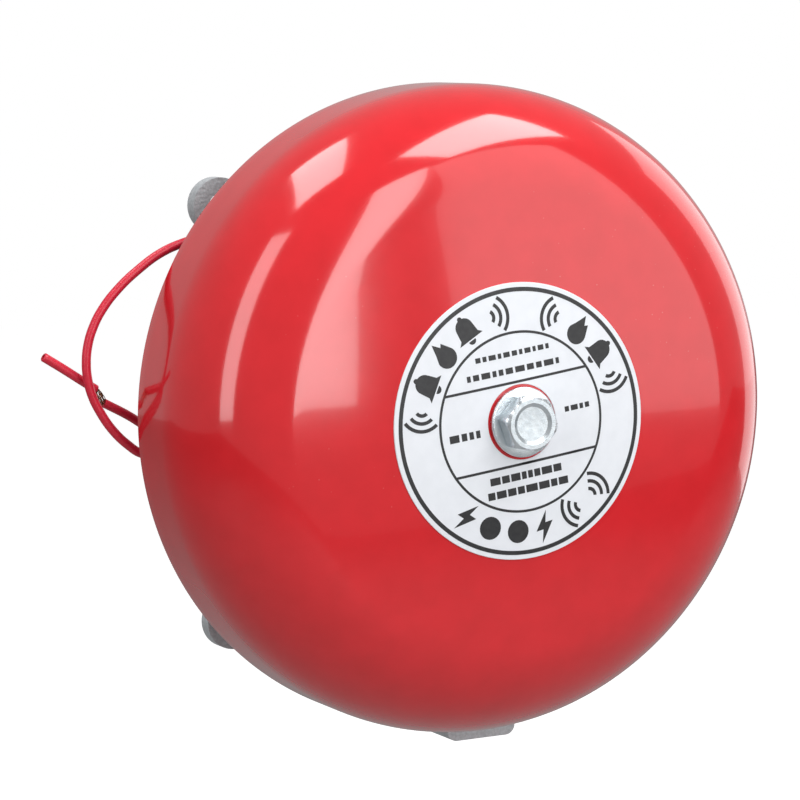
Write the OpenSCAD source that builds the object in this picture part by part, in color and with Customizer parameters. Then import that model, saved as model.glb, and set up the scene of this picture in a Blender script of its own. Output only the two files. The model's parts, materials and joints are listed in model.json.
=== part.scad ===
// Wall-mounted fire alarm bell: a 150 mm steel gong over a cast base that
// holds a solenoid striker. The origin is the middle of the wall face, on the
// gong's axis. The wall is the plane y = 0, the bell faces -Y, and +Z is up.

/* [Gong] */
// Outer diameter of the gong
gong_d = 150; // [146:1:156]
// Depth of the gong, from its rim to the middle of its dome
gong_depth = 43.3; // [42:0.1:46]
// Wall thickness of the gong
gong_wall = 2.2; // [1.8:0.1:2.4]
// Radius of the nearly flat dome
dome_r = 400; // [350:10:500]
// Radius of the rounded shoulder between the dome and the skirt
shoulder_r = 26; // [22:1:28]
// Height of the rim above the wall
rim_h = 14.7; // [14:0.1:16]

/* [Label] */
// Outer radius of the round label
label_r = 31.2; // [28:0.2:34]
// Radius of the hole in the label
label_hole_r = 8.5; // [8.2:0.1:9.5]
// Thickness of the label
label_t = 0.25; // [0.15:0.05:0.4]

/* [Base] */
// Outer radius of the cast pan
pan_r = 50; // [50:0.5:51]
// Height of the pan above the wall
pan_h = 34; // [34:0.5:35]
// Wall thickness of the pan
pan_wall = 2.5; // [2.2:0.1:2.8]
// Floor thickness of the pan
pan_floor = 3; // [2.5:0.1:3.2]
// Distance from the middle to the tip of each fixing lug
lug_tip_r = 75; // [74:0.5:78]
// Width of each fixing lug
lug_w = 13; // [12:0.5:14]
// Thickness of each fixing lug
lug_t = 4; // [3:0.5:5]
// Radius of each fixing hole
lug_hole_r = 2.75; // [2.2:0.05:3]
// Sideways place of the cable entry boss
entry_x = 11; // [9:0.5:12]
// Width of the cable entry boss
entry_w = 18; // [17:0.5:19]
// Distance from the middle down to the mouth of the cable entry boss
entry_reach = 81.5; // [80:0.5:83]
// Thickness of the cable entry boss, off the wall
entry_t = 12.7; // [12:0.1:13]
// Radius of the cable entry bore
entry_bore_r = 3.5; // [3:0.25:3.5]

/* [Striker] */
// Height of the solenoid and striker above the wall
axis_h = 22; // [21:0.5:22.5]
// Radius of the striker pin
pin_r = 2; // [1.8:0.05:2]
// Radius of the plunger
plunger_r = 4.42; // [4.4:0.01:4.46]
// Distance from the bell's middle to the striker's tip at rest
tip_rest = 68.3; // [67.5:0.1:68.3]

/* [Bolt] */
// Radius of the bolt's shank
bolt_r = 4; // [3.9:0.01:4]
// Hexagon size of the bolt, across its flats
bolt_af = 11.75; // [11:0.05:13]
// Height of the bolt's head
bolt_head_t = 4.25; // [4:0.05:5.3]
// Outer radius of the washer under the bolt
washer_r = 7.9; // [7:0.1:8.2]

/* [Leads] */
// Outer diameter of each flying lead
lead_d = 2.1; // [1.8:0.1:2.1]

/* [Hidden] */
$fn = 96;
ROUND = 48;
LEAD_SIDES = 8;

// Gong and what holds it
gong_r = gong_d / 2;
apex_h = rim_h + gong_depth;
dome_centre_h = apex_h - dome_r;
shoulder_x = gong_r - shoulder_r;
shoulder_reach = dome_r - shoulder_r;
tangent_angle = asin(shoulder_x / shoulder_reach);
shoulder_h = dome_centre_h + shoulder_reach * cos(tangent_angle);
gong_hole_r = 4.3;
DOME_STEPS = 10;
SHOULDER_STEPS = 20;
washer_h = apex_h + 0.06;
washer_t = 1.2;
head_h = washer_h + washer_t + 0.04;
shank_end_h = 35;
post_r = 6;
post_foot_h = 4;
post_top_h = 51.9;
post_bore_h = 30;
bush_low_h = 44.5;
bush_top_h = 55.4;
bush_seat_h = 52;
bush_r = 9;
flange_r = 11;
RUN = 0.06;

// Pan, lid and seals
inner_r = pan_r - pan_wall;
lug_hole_reach = lug_tip_r - lug_w / 2;
LUG_ANGLES = [45, 135, 225, 315];
LID_ANGLES = [30, 120, 210, 300];
lid_screw_reach = 44;
lid_boss_r = 4;
lid_pilot_r = 1.35;
boss_drop = 0.5;
boss_lift = 0.3;
gasket_t = 1;
lid_h = pan_h + gasket_t;
lid_t = 1.8;
lid_flange_t = 2.5;
lid_dome_h = 41.5;
lid_hole_r = 8.2;
flange_outer_r = pan_r + 1;
entry_corner_r = 2.5;
entry_bore_h = 6.65;

// Solenoid, along z at y = -axis_h
coil_top = -12;
coil_bottom = -43;
yoke_t = 2;
yoke_w = 22;
yoke_low_h = 8.8;
yoke_high_h = 33;
flange_t = 1.4;
bobbin_r = 10.9;
hub_r = 6.4;
winding_r = 9.8;
tape_t = 0.35;
tube_r = 5;
tube_bore_r = 4.5;
core_top = -35;
core_pocket_r = 3.9;
core_pocket = 6;
plunger_top = -13.4;
plunger_bottom = -30.4;
YOKE_SCREWS = [-20, -35];
yoke_recess = 0.9;
yoke_screw_r = 2.4;
spring_wire_r = 0.35;
spring_r = 3.1;
SPRING_TURNS = 6.5;
SPRING_STEPS = 14;
tip_r = 3.4;
tip_length = 6.6;
bush_bore_r = pin_r + RUN;

// Side wiring
lead_h = 9;
LEAD_Z = [-6.5, -3.5];
grommet_z = -5;
grommet_r = 4;
side_pad_r = 7;
pad_reach = pan_r + 1.5;
grommet_face = 53;
block_x = -28;
block_w = 13;
block_d = 17;
block_t = 11;
block_low_h = 3;
TERMINAL_Z = [-8.5, -1.5];
earth_x = 27;
earth_z = -22;
strand_r = 0.16;

// The coil's two tails, hand-laid points from the winding to the block
COIL_TAILS = [
    [[-10.6, -20, -16], [-13, -18, -15], [-15.5, -14, -12.5], [-17.5, -11, -10],
     [-19.5, -9.3, -8.8], [-22, -9, -8.5], [-25, -9, -8.5]],
    [[-10.6, -24, -15], [-13, -22.5, -12.5], [-15.5, -19, -8.5], [-17.5, -14, -4.5],
     [-19.5, -10.3, -2.2], [-22, -9, -1.5], [-25, -9, -1.5]]
];
// The two flying leads, hand-laid points in millimetres, from the grommet out
LEAD_A = [
    [-50, -9, -6.5], [-53, -9, -6.5], [-56.5, -9, -6.5], [-60, -9, -6.8], [-64, -8.7, -7.2], [-68, -8.4, -7.2],
    [-71.6, -8.2, -6.6], [-74.9, -8.1, -4.3], [-78.3, -8, -0.8], [-81, -7.9, 3.3],
    [-82.9, -7.8, 7.4], [-83.8, -7.8, 11.2], [-84, -7.8, 15], [-83.4, -7.7, 19],
    [-81.9, -7.6, 23], [-79.5, -7.4, 26.8], [-75.4, -7.2, 31.2], [-70.3, -7, 35.2],
    [-64.8, -7, 38.6], [-59.3, -7, 40.6], [-55.5, -7, 41.4], [-52, -7, 41.8]
];
LEAD_B = [
    [-50, -9, -3.5], [-52.6, -9, -3.5], [-55.2, -8.9, -3.6], [-57.8, -8.4, -4], [-60.2, -7.3, -4.3],
    [-62.5, -5.9, -4.2], [-64.8, -4.8, -3.6], [-66.9, -4.2, -2.4], [-68.8, -4.1, -1],
    [-70.7, -4.3, 0.3], [-73, -4.6, 1.8], [-75.2, -4.7, 3.1], [-77.2, -4.7, 4.2], [-79, -4.7, 5.2]
];
// The loose length of insulation pulled part-way off lead B
SLUG_B = [
    [-80.6, -4.6, 8.3], [-84.4, -4.5, 10.9], [-88.6, -4.4, 13.8], [-93, -4.4, 16.7]
];

// ---------- Shared shapes ----------

// Stands a shape up on the wall: its local z is the height off the wall
module on_wall() {
    rotate([90, 0, 0]) children();
}

// Places a shape along the solenoid: its local z runs down the bell's own z
module along_solenoid(z) {
    translate([0, -axis_h, z]) children();
}

// Points [r, h] of an arc whose angles are counted from the bell's axis
function arc(centre, radius, from, to, steps) = [
    for (i = [0:steps])
        let (a = from + (to - from) * i / steps)
            centre + radius * [sin(a), cos(a)]
];

function unit(v) = v / norm(v);

// Direction of a route at its point i
function heading(route, i) = unit(
    route[min(i + 1, len(route) - 1)] - route[max(i - 1, 0)]
);

// One ring of points round the route's point i
function ring(route, i, radius, sides, up) =
    let (t = heading(route, i), side = unit(cross(t, up)), top = cross(side, t))
    [for (k = [0:sides - 1]) route[i] + radius * (cos(360 * k / sides) * side
        + sin(360 * k / sides) * top)];

// A closed tube swept along a route
module tube_along(route, radius, sides, up) {
    rings = len(route);
    points = [for (i = [0:rings - 1]) each ring(route, i, radius, sides, up)];
    walls = [
        for (i = [0:rings - 2], k = [0:sides - 1])
            let (n = (k + 1) % sides)
                [i * sides + k, (i + 1) * sides + k, (i + 1) * sides + n, i * sides + n]
    ];
    ends = [
        [for (k = [0:sides - 1]) k],
        [for (k = [sides - 1:-1:0]) (rings - 1) * sides + k]
    ];
    polyhedron(points, concat(walls, ends), convexity = 6);
}

// A flat ring
module washer(outer, bore, t) {
    difference() {
        cylinder(r = outer, h = t);
        translate([0, 0, -1]) cylinder(r = bore, h = t + 2, $fn = ROUND);
    }
}

// A pan-head screw that points down its local z, with its head's seat at z = 0
module pan_screw(head_r, head_t, shank_r, length) {
    difference() {
        union() {
            rotate_extrude($fn = ROUND) polygon([
                [0, 0], [head_r, 0], [head_r, head_t * 0.5], [head_r * 0.85, head_t * 0.85],
                [head_r * 0.55, head_t], [0, head_t]
            ]);
            translate([0, 0, -length]) cylinder(r = shank_r, h = length + 0.1, $fn = ROUND);
        }
        for (turn = [0, 90])
            rotate(turn) translate([-head_r * 0.6, -head_r * 0.12, head_t * 0.45])
                cube([head_r * 1.2, head_r * 0.24, head_t]);
    }
}

// A rectangle with round corners, its middle at the origin
module rounded_rectangle(w, d, r) {
    square([w - 2 * r, d], center = true);
    square([w, d - 2 * r], center = true);
    for (x = [-1, 1], y = [-1, 1])
        translate([x * (w / 2 - r), y * (d / 2 - r)]) circle(r = r, $fn = ROUND);
}

// ---------- Base ----------

module lug_outline() {
    translate([0, -lug_w / 2]) square([lug_hole_reach, lug_w]);
    translate([lug_hole_reach, 0]) circle(d = lug_w, $fn = ROUND);
}

module lug_rib() {
    rotate([90, 0, 0]) translate([0, 0, -1.5]) linear_extrude(3)
        polygon([[pan_r - 1, lug_t - 0.5], [pan_r + 8, lug_t - 0.5], [pan_r - 1, pan_h * 0.5]]);
}

// The casting is cut into six nodes that meet face to face. These bores cross them.
module pan_bores() {
    bore_root = inner_r - 5;
    translate([entry_x, -bore_root, entry_bore_h]) rotate([90, 0, 0])
        cylinder(r = entry_bore_r, h = entry_reach, $fn = ROUND);
    translate([0, -inner_r + 4, axis_h]) rotate([90, 0, 0])
        cylinder(r = 4, h = 12, $fn = ROUND);
    translate([-inner_r + 4, grommet_z, lead_h]) rotate([0, -90, 0])
        cylinder(r = grommet_r, h = 12, $fn = ROUND);
}

// The floor, its flange, the lugs and the bosses for the post, yoke and earth screw
module base_plate() {
    color("silver") on_wall() difference() {
        union() {
            difference() {
                union() {
                    cylinder(r = flange_outer_r, h = pan_floor);
                    for (a = LUG_ANGLES) rotate(a) {
                        linear_extrude(lug_t) lug_outline();
                        lug_rib();
                    }
                }
                translate([0, 0, pan_floor]) cylinder(r = pan_r, h = pan_h);
            }
            cylinder(r = bush_r, h = 12);
            for (z = YOKE_SCREWS) translate([0, z, 0])
                cylinder(r = 4.5, h = yoke_low_h, $fn = ROUND);
            translate([earth_x, earth_z, 0]) cylinder(r = 4, h = 8, $fn = ROUND);
        }
        translate([0, 0, post_foot_h]) cylinder(r = post_r, h = pan_h);
        for (a = LUG_ANGLES) rotate(a) translate([lug_hole_reach, 0, -1])
            cylinder(r = lug_hole_r, h = lug_t + 2, $fn = ROUND);
        for (z = YOKE_SCREWS) translate([0, z, pan_floor - 1.2])
            cylinder(r = lid_pilot_r, h = pan_h, $fn = ROUND);
        translate([earth_x, earth_z, pan_floor - 1.2])
            cylinder(r = lid_pilot_r, h = 10, $fn = ROUND);
    }
}

// The pan's round wall, the lid's screw bosses and the flat pads at its bores
module pan_ring() {
    pad_length = pad_reach - inner_r + 3;
    on_wall() difference() {
        union() {
            difference() {
                union() {
                    translate([0, 0, pan_floor]) cylinder(r = pan_r, h = pan_h - pan_floor);
                    translate([0, -inner_r + 3, axis_h]) rotate([90, 0, 0])
                        cylinder(r = side_pad_r, h = pad_length, $fn = ROUND);
                    intersection() {
                        translate([-inner_r + 3, grommet_z, lead_h]) rotate([0, -90, 0])
                            cylinder(r = side_pad_r, h = pad_length, $fn = ROUND);
                        translate([-pan_r - 5, -pan_r, pan_floor]) cube([pan_r, 2 * pan_r, pan_h]);
                    }
                }
                translate([0, 0, pan_floor - 1]) cylinder(r = inner_r, h = pan_h);
            }
            for (a = LID_ANGLES) rotate(a) translate([lid_screw_reach, 0, pan_floor + boss_lift])
                cylinder(r = lid_boss_r, h = pan_h - boss_drop - pan_floor - boss_lift, $fn = ROUND);
        }
        for (a = LID_ANGLES) rotate(a) translate([lid_screw_reach, 0, pan_h - 12])
            cylinder(r = lid_pilot_r, h = 13, $fn = ROUND);
        pan_bores();
    }
}

// A quarter of the pan's wall, its middle turned to an angle round the gong's axis
module quarter_wall(turn) {
    reach = 2 * pan_r;
    color("silver") intersection() {
        pan_ring();
        on_wall() rotate(turn) linear_extrude(pan_h)
            polygon([[0, 0], [reach, -reach], [reach, reach]]);
    }
}

module pan_wall_right() {
    quarter_wall(0);
}

module pan_wall_top() {
    quarter_wall(90);
}

module pan_wall_left() {
    quarter_wall(180);
}

module pan_wall_bottom() {
    quarter_wall(270);
}

// The squared boss under the rim, with the cable entry through it
module cable_boss() {
    entry_root = inner_r - 4;
    entry_h = entry_reach - entry_root;
    color("silver") on_wall() difference() {
        translate([entry_x, -entry_root - entry_h / 2, 0]) linear_extrude(entry_t)
            rounded_rectangle(entry_w, entry_h, entry_corner_r);
        translate([0, 0, -1]) cylinder(r = flange_outer_r, h = pan_floor + 1);
        cylinder(r = pan_r, h = pan_h);
        pan_bores();
    }
}

module lid_gasket() {
    color("dimgray") on_wall() translate([0, 0, pan_h]) difference() {
        union() {
            washer(pan_r, inner_r, gasket_t);
            for (a = LID_ANGLES) rotate(a) translate([lid_screw_reach, 0, 0]) rotate(180)
                cylinder(r = lid_boss_r, h = gasket_t, $fn = ROUND);
        }
        for (a = LID_ANGLES) rotate(a) translate([lid_screw_reach, 0, -1])
            cylinder(r = 1.7, h = gasket_t + 2, $fn = ROUND);
    }
}

module lid() {
    crown_r = 36;
    color("silver") on_wall() difference() {
        rotate_extrude() polygon([
            [lid_hole_r, lid_dome_h], [lid_hole_r, lid_dome_h - lid_t],
            [crown_r - 4, lid_dome_h - lid_t - 1], [crown_r, lid_h + lid_t],
            [crown_r + 1, lid_h], [pan_r, lid_h],
            [pan_r, lid_h + lid_flange_t - 0.6], [pan_r - 0.6, lid_h + lid_flange_t],
            [crown_r + 3.2, lid_h + lid_flange_t], [crown_r - 1, lid_dome_h - 1.6],
            [crown_r - 4, lid_dome_h - 0.6]
        ]);
        for (a = LID_ANGLES) rotate(a) translate([lid_screw_reach, 0, lid_h - 1])
            cylinder(r = 1.7, h = 6, $fn = ROUND);
    }
}

module lid_screws() {
    color("gainsboro") on_wall() for (a = LID_ANGLES)
        rotate(a) translate([lid_screw_reach, 0, lid_h + lid_flange_t])
            pan_screw(3, 2.2, 1.3, 12);
}

module post_seal() {
    color("#303030") on_wall() translate([0, 0, lid_dome_h - lid_t - 0.5])
        washer(lid_hole_r, post_r, lid_t + 1);
}

module centre_post() {
    color("lightsteelblue") on_wall() difference() {
        translate([0, 0, post_foot_h]) cylinder(r = post_r, h = post_top_h - post_foot_h);
        translate([0, 0, post_bore_h]) cylinder(r = bolt_r + 0.05, h = post_top_h);
    }
}

// ---------- Solenoid ----------

module magnet_yoke() {
    top = coil_top + yoke_t;
    bottom = coil_bottom - yoke_t;
    color("slategray") difference() {
        union() {
            translate([-yoke_w / 2, -yoke_low_h - yoke_t, bottom])
                cube([yoke_w, yoke_t, top - bottom]);
            for (z = [coil_top, bottom])
                translate([-yoke_w / 2, -yoke_high_h, z])
                    cube([yoke_w, yoke_high_h - yoke_low_h, yoke_t]);
        }
        along_solenoid(bottom - 1) cylinder(r = tube_r, h = yoke_t + 2, $fn = ROUND);
        for (z = YOKE_SCREWS) translate([0, 0, z]) on_wall() {
            translate([0, 0, yoke_low_h - 1]) cylinder(r = 1.7, h = 4, $fn = ROUND);
            translate([0, 0, yoke_low_h + yoke_t - yoke_recess])
                cylinder(r = yoke_screw_r + 0.1, h = 2, $fn = ROUND);
        }
    }
}

module yoke_screws() {
    color("gainsboro") for (z = YOKE_SCREWS)
        translate([0, -yoke_low_h - yoke_t + yoke_recess, z]) on_wall()
            pan_screw(yoke_screw_r, yoke_recess, 1.3, 6);
}

module coil_bobbin() {
    color("ivory") along_solenoid(coil_bottom) difference() {
        union() {
            cylinder(r = bobbin_r, h = flange_t);
            cylinder(r = hub_r, h = coil_top - coil_bottom);
            translate([0, 0, coil_top - coil_bottom - flange_t]) cylinder(r = bobbin_r, h = flange_t);
        }
        translate([0, 0, -1]) cylinder(r = tube_r, h = coil_top - coil_bottom + 2);
    }
}

module coil_winding() {
    color("#b5651d") along_solenoid(coil_bottom + flange_t)
        washer(winding_r, hub_r, coil_top - coil_bottom - 2 * flange_t);
}

module coil_tape() {
    color("khaki") along_solenoid(coil_bottom + flange_t + 2)
        washer(winding_r + tape_t, winding_r, coil_top - coil_bottom - 2 * flange_t - 4);
}

module guide_tube() {
    color("goldenrod") along_solenoid(coil_bottom - yoke_t)
        washer(tube_r, tube_bore_r, coil_top - coil_bottom + yoke_t);
}

module fixed_core() {
    bottom = coil_bottom - yoke_t;
    color("lightslategray") along_solenoid(bottom) difference() {
        cylinder(r = tube_bore_r, h = core_top - bottom);
        translate([0, 0, -1]) cylinder(r = pin_r + 0.1, h = core_top - bottom + 2, $fn = ROUND);
        translate([0, 0, core_top - bottom - core_pocket])
            cylinder(r = core_pocket_r, h = core_pocket + 1, $fn = ROUND);
    }
}

module buffer_pad() {
    color("#303030") along_solenoid(coil_top - 1.2) cylinder(r = tube_bore_r, h = 1.2);
}

module plunger() {
    color("lightgray") along_solenoid(plunger_bottom) difference() {
        cylinder(r = plunger_r, h = plunger_top - plunger_bottom);
        translate([0, 0, -1]) cylinder(r = pin_r, h = 11, $fn = ROUND);
    }
}

module striker_pin() {
    color("gainsboro") along_solenoid(-tip_rest + 2)
        cylinder(r = pin_r, h = plunger_bottom + 10 + tip_rest - 2, $fn = ROUND);
}

module striker_tip() {
    nose = tip_r * 0.6;
    color("whitesmoke") along_solenoid(-tip_rest) difference() {
        rotate_extrude($fn = ROUND) polygon(concat(
            [[0, 0]],
            [for (a = [0:15:90]) [tip_r - nose + nose * sin(a), nose - nose * cos(a)]],
            [[tip_r, tip_length], [0, tip_length]]
        ));
        translate([0, 0, 2]) cylinder(r = pin_r, h = tip_length, $fn = ROUND);
    }
}

module return_spring() {
    low = core_top - core_pocket + spring_wire_r;
    high = plunger_bottom - spring_wire_r;
    count = ceil(SPRING_TURNS * SPRING_STEPS);
    coil = [
        for (i = [0:count])
            let (a = 360 * SPRING_TURNS * i / count)
                [spring_r * cos(a), spring_r * sin(a), low + (high - low) * i / count]
    ];
    color("silver") along_solenoid(0) tube_along(coil, spring_wire_r, 6, [0, 0, 1]);
}

module guide_bush() {
    color("ivory") translate([0, -axis_h, 0]) rotate([180, 0, 0]) difference() {
        union() {
            translate([0, 0, inner_r - 1.2]) cylinder(r = 4, h = pad_reach - inner_r + 1.2, $fn = ROUND);
            translate([0, 0, pad_reach]) cylinder(r = 5.8, h = 1.5, $fn = ROUND);
        }
        translate([0, 0, inner_r - 3]) cylinder(r = bush_bore_r, h = 12, $fn = ROUND);
    }
}

module pin_seal() {
    color("#303030") translate([0, -axis_h, 0]) rotate([180, 0, 0])
        translate([0, 0, pad_reach + 1.5]) difference() {
            cylinder(r1 = 5, r2 = 3.4, h = 2.6);
            translate([0, 0, -1]) cylinder(r = bush_bore_r, h = 5, $fn = ROUND);
        }
}

// ---------- Wiring ----------

module terminal_block() {
    color("whitesmoke") on_wall() difference() {
        translate([block_x - block_w / 2, grommet_z - block_d / 2, block_low_h])
            cube([block_w, block_d, block_t]);
        for (z = TERMINAL_Z) {
            translate([block_x, z, block_low_h + 3]) cylinder(r = 2, h = block_t, $fn = ROUND);
            translate([block_x - block_w, z, lead_h]) rotate([0, 90, 0])
                cylinder(r = 1.4, h = 2 * block_w, $fn = ROUND);
        }
    }
}

module terminal_screws() {
    color("gold") on_wall() for (z = TERMINAL_Z)
        translate([block_x, z, lead_h + 1.2]) difference() {
            cylinder(r = 1.9, h = 2.4, $fn = ROUND);
            translate([-2, -0.3, 1.4]) cube([4, 0.6, 2]);
        }
}

// Two thin tails from the coil to the terminal block
module coil_tails() {
    for (route = COIL_TAILS)
        color("#c8a018") tube_along(route, 0.5, LEAD_SIDES, [0, 1, 0.2]);
}

// The two leads' stretches inside the pan, from the block to the grommet
module lead_tails() {
    for (side = [0, 1]) {
        route = [
            [block_x - 2, -lead_h, TERMINAL_Z[side]], [-34, -lead_h, TERMINAL_Z[side]],
            [-37, -lead_h, TERMINAL_Z[side] + 0.5 * (LEAD_Z[side] - TERMINAL_Z[side])],
            [-40, -lead_h, LEAD_Z[side]], [-44, -lead_h, LEAD_Z[side]],
            [LEAD_A[0].x, -lead_h, LEAD_Z[side]]
        ];
        color("crimson") tube_along(route, lead_d / 2, LEAD_SIDES, [0, 1, 0]);
    }
}

module earth_screw() {
    color("gold") on_wall() translate([earth_x, earth_z, 8.8]) pan_screw(3, 2, 1.3, 5);
}

module earth_washer() {
    color("gold") on_wall() translate([earth_x, earth_z, 8]) washer(3.6, 1.5, 0.8);
}

module lead_grommet() {
    color("#262626") translate([0, -lead_h, grommet_z]) rotate([0, -90, 0]) difference() {
        union() {
            translate([0, 0, inner_r - 2]) cylinder(r = grommet_r, h = pad_reach - inner_r + 2, $fn = ROUND);
            translate([0, 0, pad_reach]) cylinder(r = 5.6, h = grommet_face - pad_reach, $fn = ROUND);
            translate([0, 0, inner_r - 3]) cylinder(r = 5, h = 1.4, $fn = ROUND);
        }
        for (z = LEAD_Z) translate([z - grommet_z, 0, 0]) translate([0, 0, inner_r - 4])
            cylinder(r = lead_d / 2 + 0.02, h = 12, $fn = ROUND);
    }
}

module lead_a() {
    color("crimson") tube_along(LEAD_A, lead_d / 2, LEAD_SIDES, [0, 1, 0]);
}

module lead_b() {
    color("crimson") tube_along(LEAD_B, lead_d / 2, LEAD_SIDES, [0, 1, 0]);
}

// A twist of bare strands from one point to another
module strand_twist(from, to, count, spread) {
    t = unit(to - from);
    side = unit(cross(t, [0, 1, 0]));
    top = cross(side, t);
    for (k = [0:count - 1]) {
        route = [
            for (i = [0:4])
                let (a = 360 * k / count + 30 * i, r = spread * (0.7 + 0.3 * i / 4))
                    from + (to - from) * i / 4 + r * (cos(a) * side + sin(a) * top)
        ];
        tube_along(route, strand_r, 5, [0, 1, 0]);
    }
}

module strands_a() {
    end = LEAD_A[len(LEAD_A) - 1];
    color("peru") strand_twist(end, end + [3.6, 0, 0.2], 6, 0.4);
}

module strands_b() {
    color("peru") strand_twist(LEAD_B[len(LEAD_B) - 1], SLUG_B[0], 7, 0.5);
}

module insulation_slug() {
    color("crimson") tube_along(SLUG_B, lead_d / 2, LEAD_SIDES, [0, 1, 0]);
}

// ---------- Gong and its bolt ----------

module gong_bush() {
    color("goldenrod") on_wall() difference() {
        union() {
            translate([0, 0, bush_low_h]) cylinder(r = bush_r, h = bush_top_h - bush_low_h);
            translate([0, 0, bush_top_h - 2]) cylinder(r = flange_r, h = 2);
        }
        translate([0, 0, bush_low_h - 1]) cylinder(r = post_r + RUN, h = bush_seat_h - bush_low_h + 1);
        cylinder(r = bolt_r + 0.2, h = apex_h);
    }
}

function dome_points(offset, from, to) = arc([0, dome_centre_h], dome_r + offset, from, to, DOME_STEPS);

module gong() {
    hole_angle = asin(gong_hole_r / dome_r);
    color("red") on_wall() rotate_extrude($fn = 160) polygon(concat(
        dome_points(0, hole_angle, tangent_angle),
        arc([shoulder_x, shoulder_h], shoulder_r, tangent_angle, 90, SHOULDER_STEPS),
        [[gong_r, rim_h + 0.5], [gong_r - 0.5, rim_h],
         [gong_r - gong_wall + 0.5, rim_h], [gong_r - gong_wall, rim_h + 0.5]],
        arc([shoulder_x, shoulder_h], shoulder_r - gong_wall, 90, tangent_angle, SHOULDER_STEPS),
        dome_points(-gong_wall, tangent_angle, hole_angle)
    ));
}

module gong_label() {
    inner = asin(label_hole_r / dome_r);
    outer = asin(label_r / dome_r);
    color("white") on_wall() rotate_extrude($fn = 160) polygon(concat(
        dome_points(label_t, inner, outer), dome_points(0, outer, inner)
    ));
}

module bolt_washer() {
    color("gainsboro") on_wall() translate([0, 0, washer_h]) washer(washer_r, bolt_r + 0.2, washer_t);
}

module gong_bolt() {
    corner_r = bolt_af / 2 / cos(30);
    chamfer = 1.3;
    color("gainsboro") on_wall() difference() {
        union() {
            translate([0, 0, shank_end_h]) cylinder(r = bolt_r, h = head_h - shank_end_h + 1);
            intersection() {
                translate([0, 0, head_h]) rotate(-11) cylinder(r = corner_r, h = bolt_head_t, $fn = 6);
                translate([0, 0, head_h]) rotate_extrude() polygon([
                    [0, 0], [corner_r + 0.1, 0], [corner_r + 0.1, bolt_head_t - chamfer * 0.45],
                    [corner_r - chamfer, bolt_head_t], [0, bolt_head_t]
                ]);
            }
        }
        translate([0, 0, head_h + bolt_head_t - 0.5]) cylinder(r1 = 4.2, r2 = 4.8, h = 1);
    }
}

base_plate();
pan_wall_right();
pan_wall_top();
pan_wall_left();
pan_wall_bottom();
cable_boss();
lid_gasket();
lid();
lid_screws();
post_seal();
centre_post();
magnet_yoke();
yoke_screws();
coil_bobbin();
coil_winding();
coil_tape();
guide_tube();
fixed_core();
buffer_pad();
guide_bush();
pin_seal();
terminal_block();
terminal_screws();
coil_tails();
lead_tails();
earth_screw();
earth_washer();
lead_grommet();
lead_a();
lead_b();
strands_a();
strands_b();
insulation_slug();
plunger();
striker_pin();
striker_tip();
return_spring();
gong_bush();
gong();
gong_label();
bolt_washer();
gong_bolt();
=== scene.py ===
"""Looks of a wall-mounted fire alarm bell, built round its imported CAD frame.

The row frame has its origin in the middle of the wall face. The wall is y = 0, the bell
faces -Y and +Z is up. Every size in this file is in millimetres until it becomes a mesh.
"""

import json
import logging
import math
import random
from dataclasses import dataclass
from enum import Enum
from typing import Callable, Iterable, Sequence

import bmesh
import bpy
from mathutils import Matrix, Vector


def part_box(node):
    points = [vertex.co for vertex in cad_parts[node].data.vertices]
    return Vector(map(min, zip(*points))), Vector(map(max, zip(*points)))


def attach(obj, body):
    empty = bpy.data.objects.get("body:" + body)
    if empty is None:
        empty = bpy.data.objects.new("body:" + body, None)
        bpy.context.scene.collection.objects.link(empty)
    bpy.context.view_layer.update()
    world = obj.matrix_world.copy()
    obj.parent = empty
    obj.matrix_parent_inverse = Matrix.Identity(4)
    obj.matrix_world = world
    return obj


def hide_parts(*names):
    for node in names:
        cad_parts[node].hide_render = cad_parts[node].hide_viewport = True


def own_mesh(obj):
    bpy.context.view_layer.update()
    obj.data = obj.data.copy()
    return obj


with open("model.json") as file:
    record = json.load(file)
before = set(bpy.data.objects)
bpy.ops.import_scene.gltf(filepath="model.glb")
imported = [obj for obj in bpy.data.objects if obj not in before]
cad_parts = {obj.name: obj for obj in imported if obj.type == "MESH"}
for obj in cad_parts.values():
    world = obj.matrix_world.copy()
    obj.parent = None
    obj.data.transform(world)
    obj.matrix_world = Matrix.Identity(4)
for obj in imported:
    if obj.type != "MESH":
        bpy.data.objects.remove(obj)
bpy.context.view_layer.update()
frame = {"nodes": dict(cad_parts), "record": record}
LOG = logging.getLogger("bell")
MM = 0.001
MERGE = 2e-6  # vertices of a CAD mesh closer than this, in metres, are one

Point2 = tuple[float, float]
Point3 = tuple[float, float, float]


# ---------------------------------------------------------------- camera, light and floor


MIDDLE: Point3 = (0.0, -30.0, 0.0)


def aimed(azimuth: float, elevation: float, distance: float) -> Point3:
    """A place seen from the bell's middle in one direction.

    Args:
        azimuth: The direction in degrees, from straight ahead of the bell towards +X.
        elevation: The height above level, in degrees.
        distance: The distance in millimetres.

    Returns:
        The place.
    """
    turn, rise = math.radians(azimuth), math.radians(elevation)
    return (
        MIDDLE[0] + distance * math.sin(turn) * math.cos(rise),
        MIDDLE[1] - distance * math.cos(turn) * math.cos(rise),
        MIDDLE[2] + distance * math.sin(rise),
    )


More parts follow.
